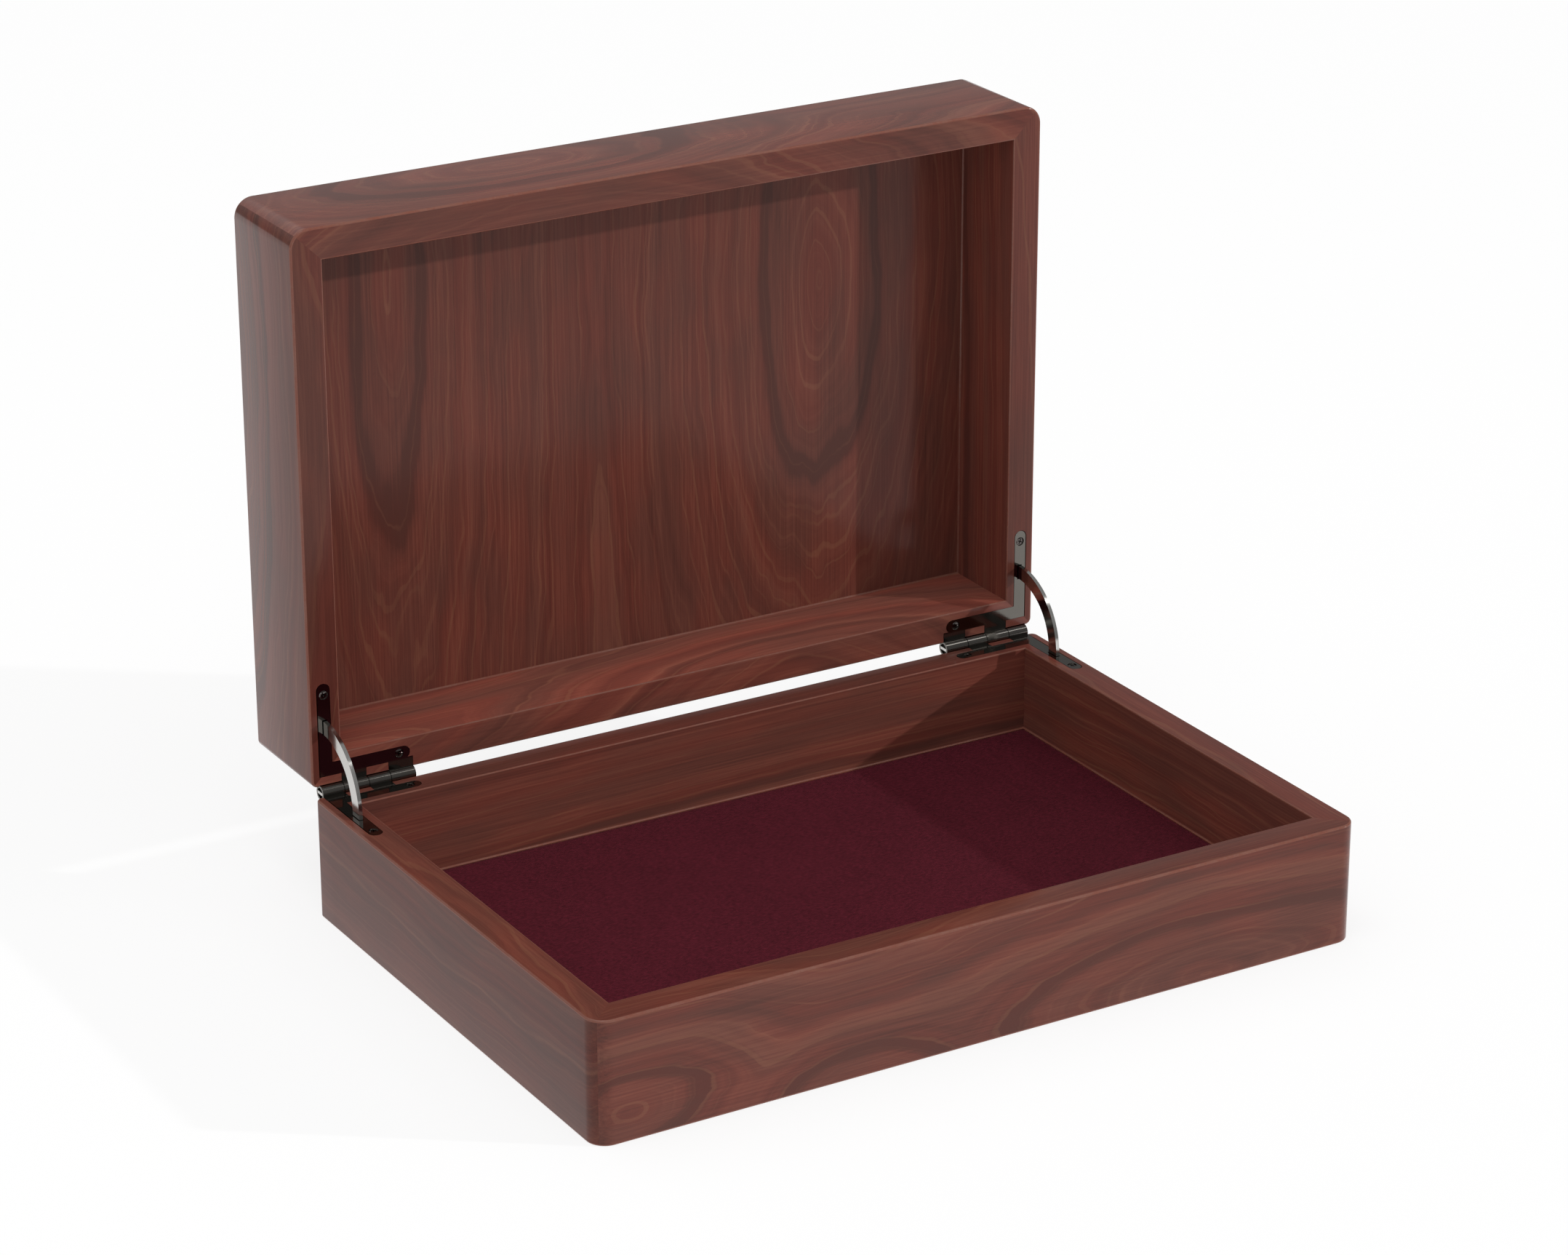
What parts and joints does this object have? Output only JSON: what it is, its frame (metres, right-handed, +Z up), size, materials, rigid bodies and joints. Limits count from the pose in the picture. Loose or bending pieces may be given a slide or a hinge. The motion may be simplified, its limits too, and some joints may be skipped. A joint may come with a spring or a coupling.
{
  "type": "hinged keepsake display box",
  "caption": "Rectangular wooden keepsake box with a hinged lid stored open at a right angle, cloth-lined base tray, panelled lid and quadrant hinges with curved stay arms.",
  "frame": {"origin": "middle of the base's flat underside", "axes": "+Z up, +X to the right along the hinge line, front at -Y, the open lid stands at +Y"},
  "size_m": [0.328, 0.2725, 0.2734],
  "materials": {
    "box_wood": "satin dark red-brown mahogany",
    "floor_wood": "satin",
    "panel_wood": "satin, figured",
    "lining_cloth": "matt woven, burgundy",
    "hinge_metal": "polished dark nickel",
    "bright_metal": "polished nickel"
  },
  "bodies": {
    "base": {"base_front_wall": "box_wood", "base_back_wall": "box_wood", "base_left_wall": "box_wood", "base_right_wall": "box_wood", "base_floor_panel": "floor_wood", "base_lining": "lining_cloth", "left_base_leaf": "hinge_metal", "right_base_leaf": "hinge_metal", "left_hinge_pin": "bright_metal", "right_hinge_pin": "bright_metal", "left_base_screws": "bright_metal", "right_base_screws": "bright_metal"},
    "lid": {"lid_front_wall": "box_wood", "lid_back_wall": "box_wood", "lid_left_wall": "box_wood", "lid_right_wall": "box_wood", "lid_panel": "panel_wood", "left_lid_leaf": "hinge_metal", "right_lid_leaf": "hinge_metal", "left_lid_screws": "bright_metal", "right_lid_screws": "bright_metal"},
    "left_stay": {"left_stay_arm": "hinge_metal"},
    "right_stay": {"right_stay_arm": "hinge_metal"}
  },
  "joints": [
    {"name": "lid_hinge", "type": "hinge", "parent": "base", "child": "lid", "pos_m": [0, 0.11325, 0.0494], "axis": [1, 0, 0], "range_deg": [0, 90]},
    {"name": "left_stay_swing", "type": "hinge", "parent": "base", "child": "left_stay", "pos_m": [0, 0.11325, 0.0494], "axis": [1, 0, 0], "range_deg": [0, 45]},
    {"name": "right_stay_swing", "type": "hinge", "parent": "base", "child": "right_stay", "pos_m": [0, 0.11325, 0.0494], "axis": [1, 0, 0], "range_deg": [0, 45]}
  ],
  "couplings": [
    {"joint": "left_stay_swing", "follows": "lid_hinge", "ratio": 0.5},
    {"joint": "right_stay_swing", "follows": "lid_hinge", "ratio": 0.5}
  ]
}
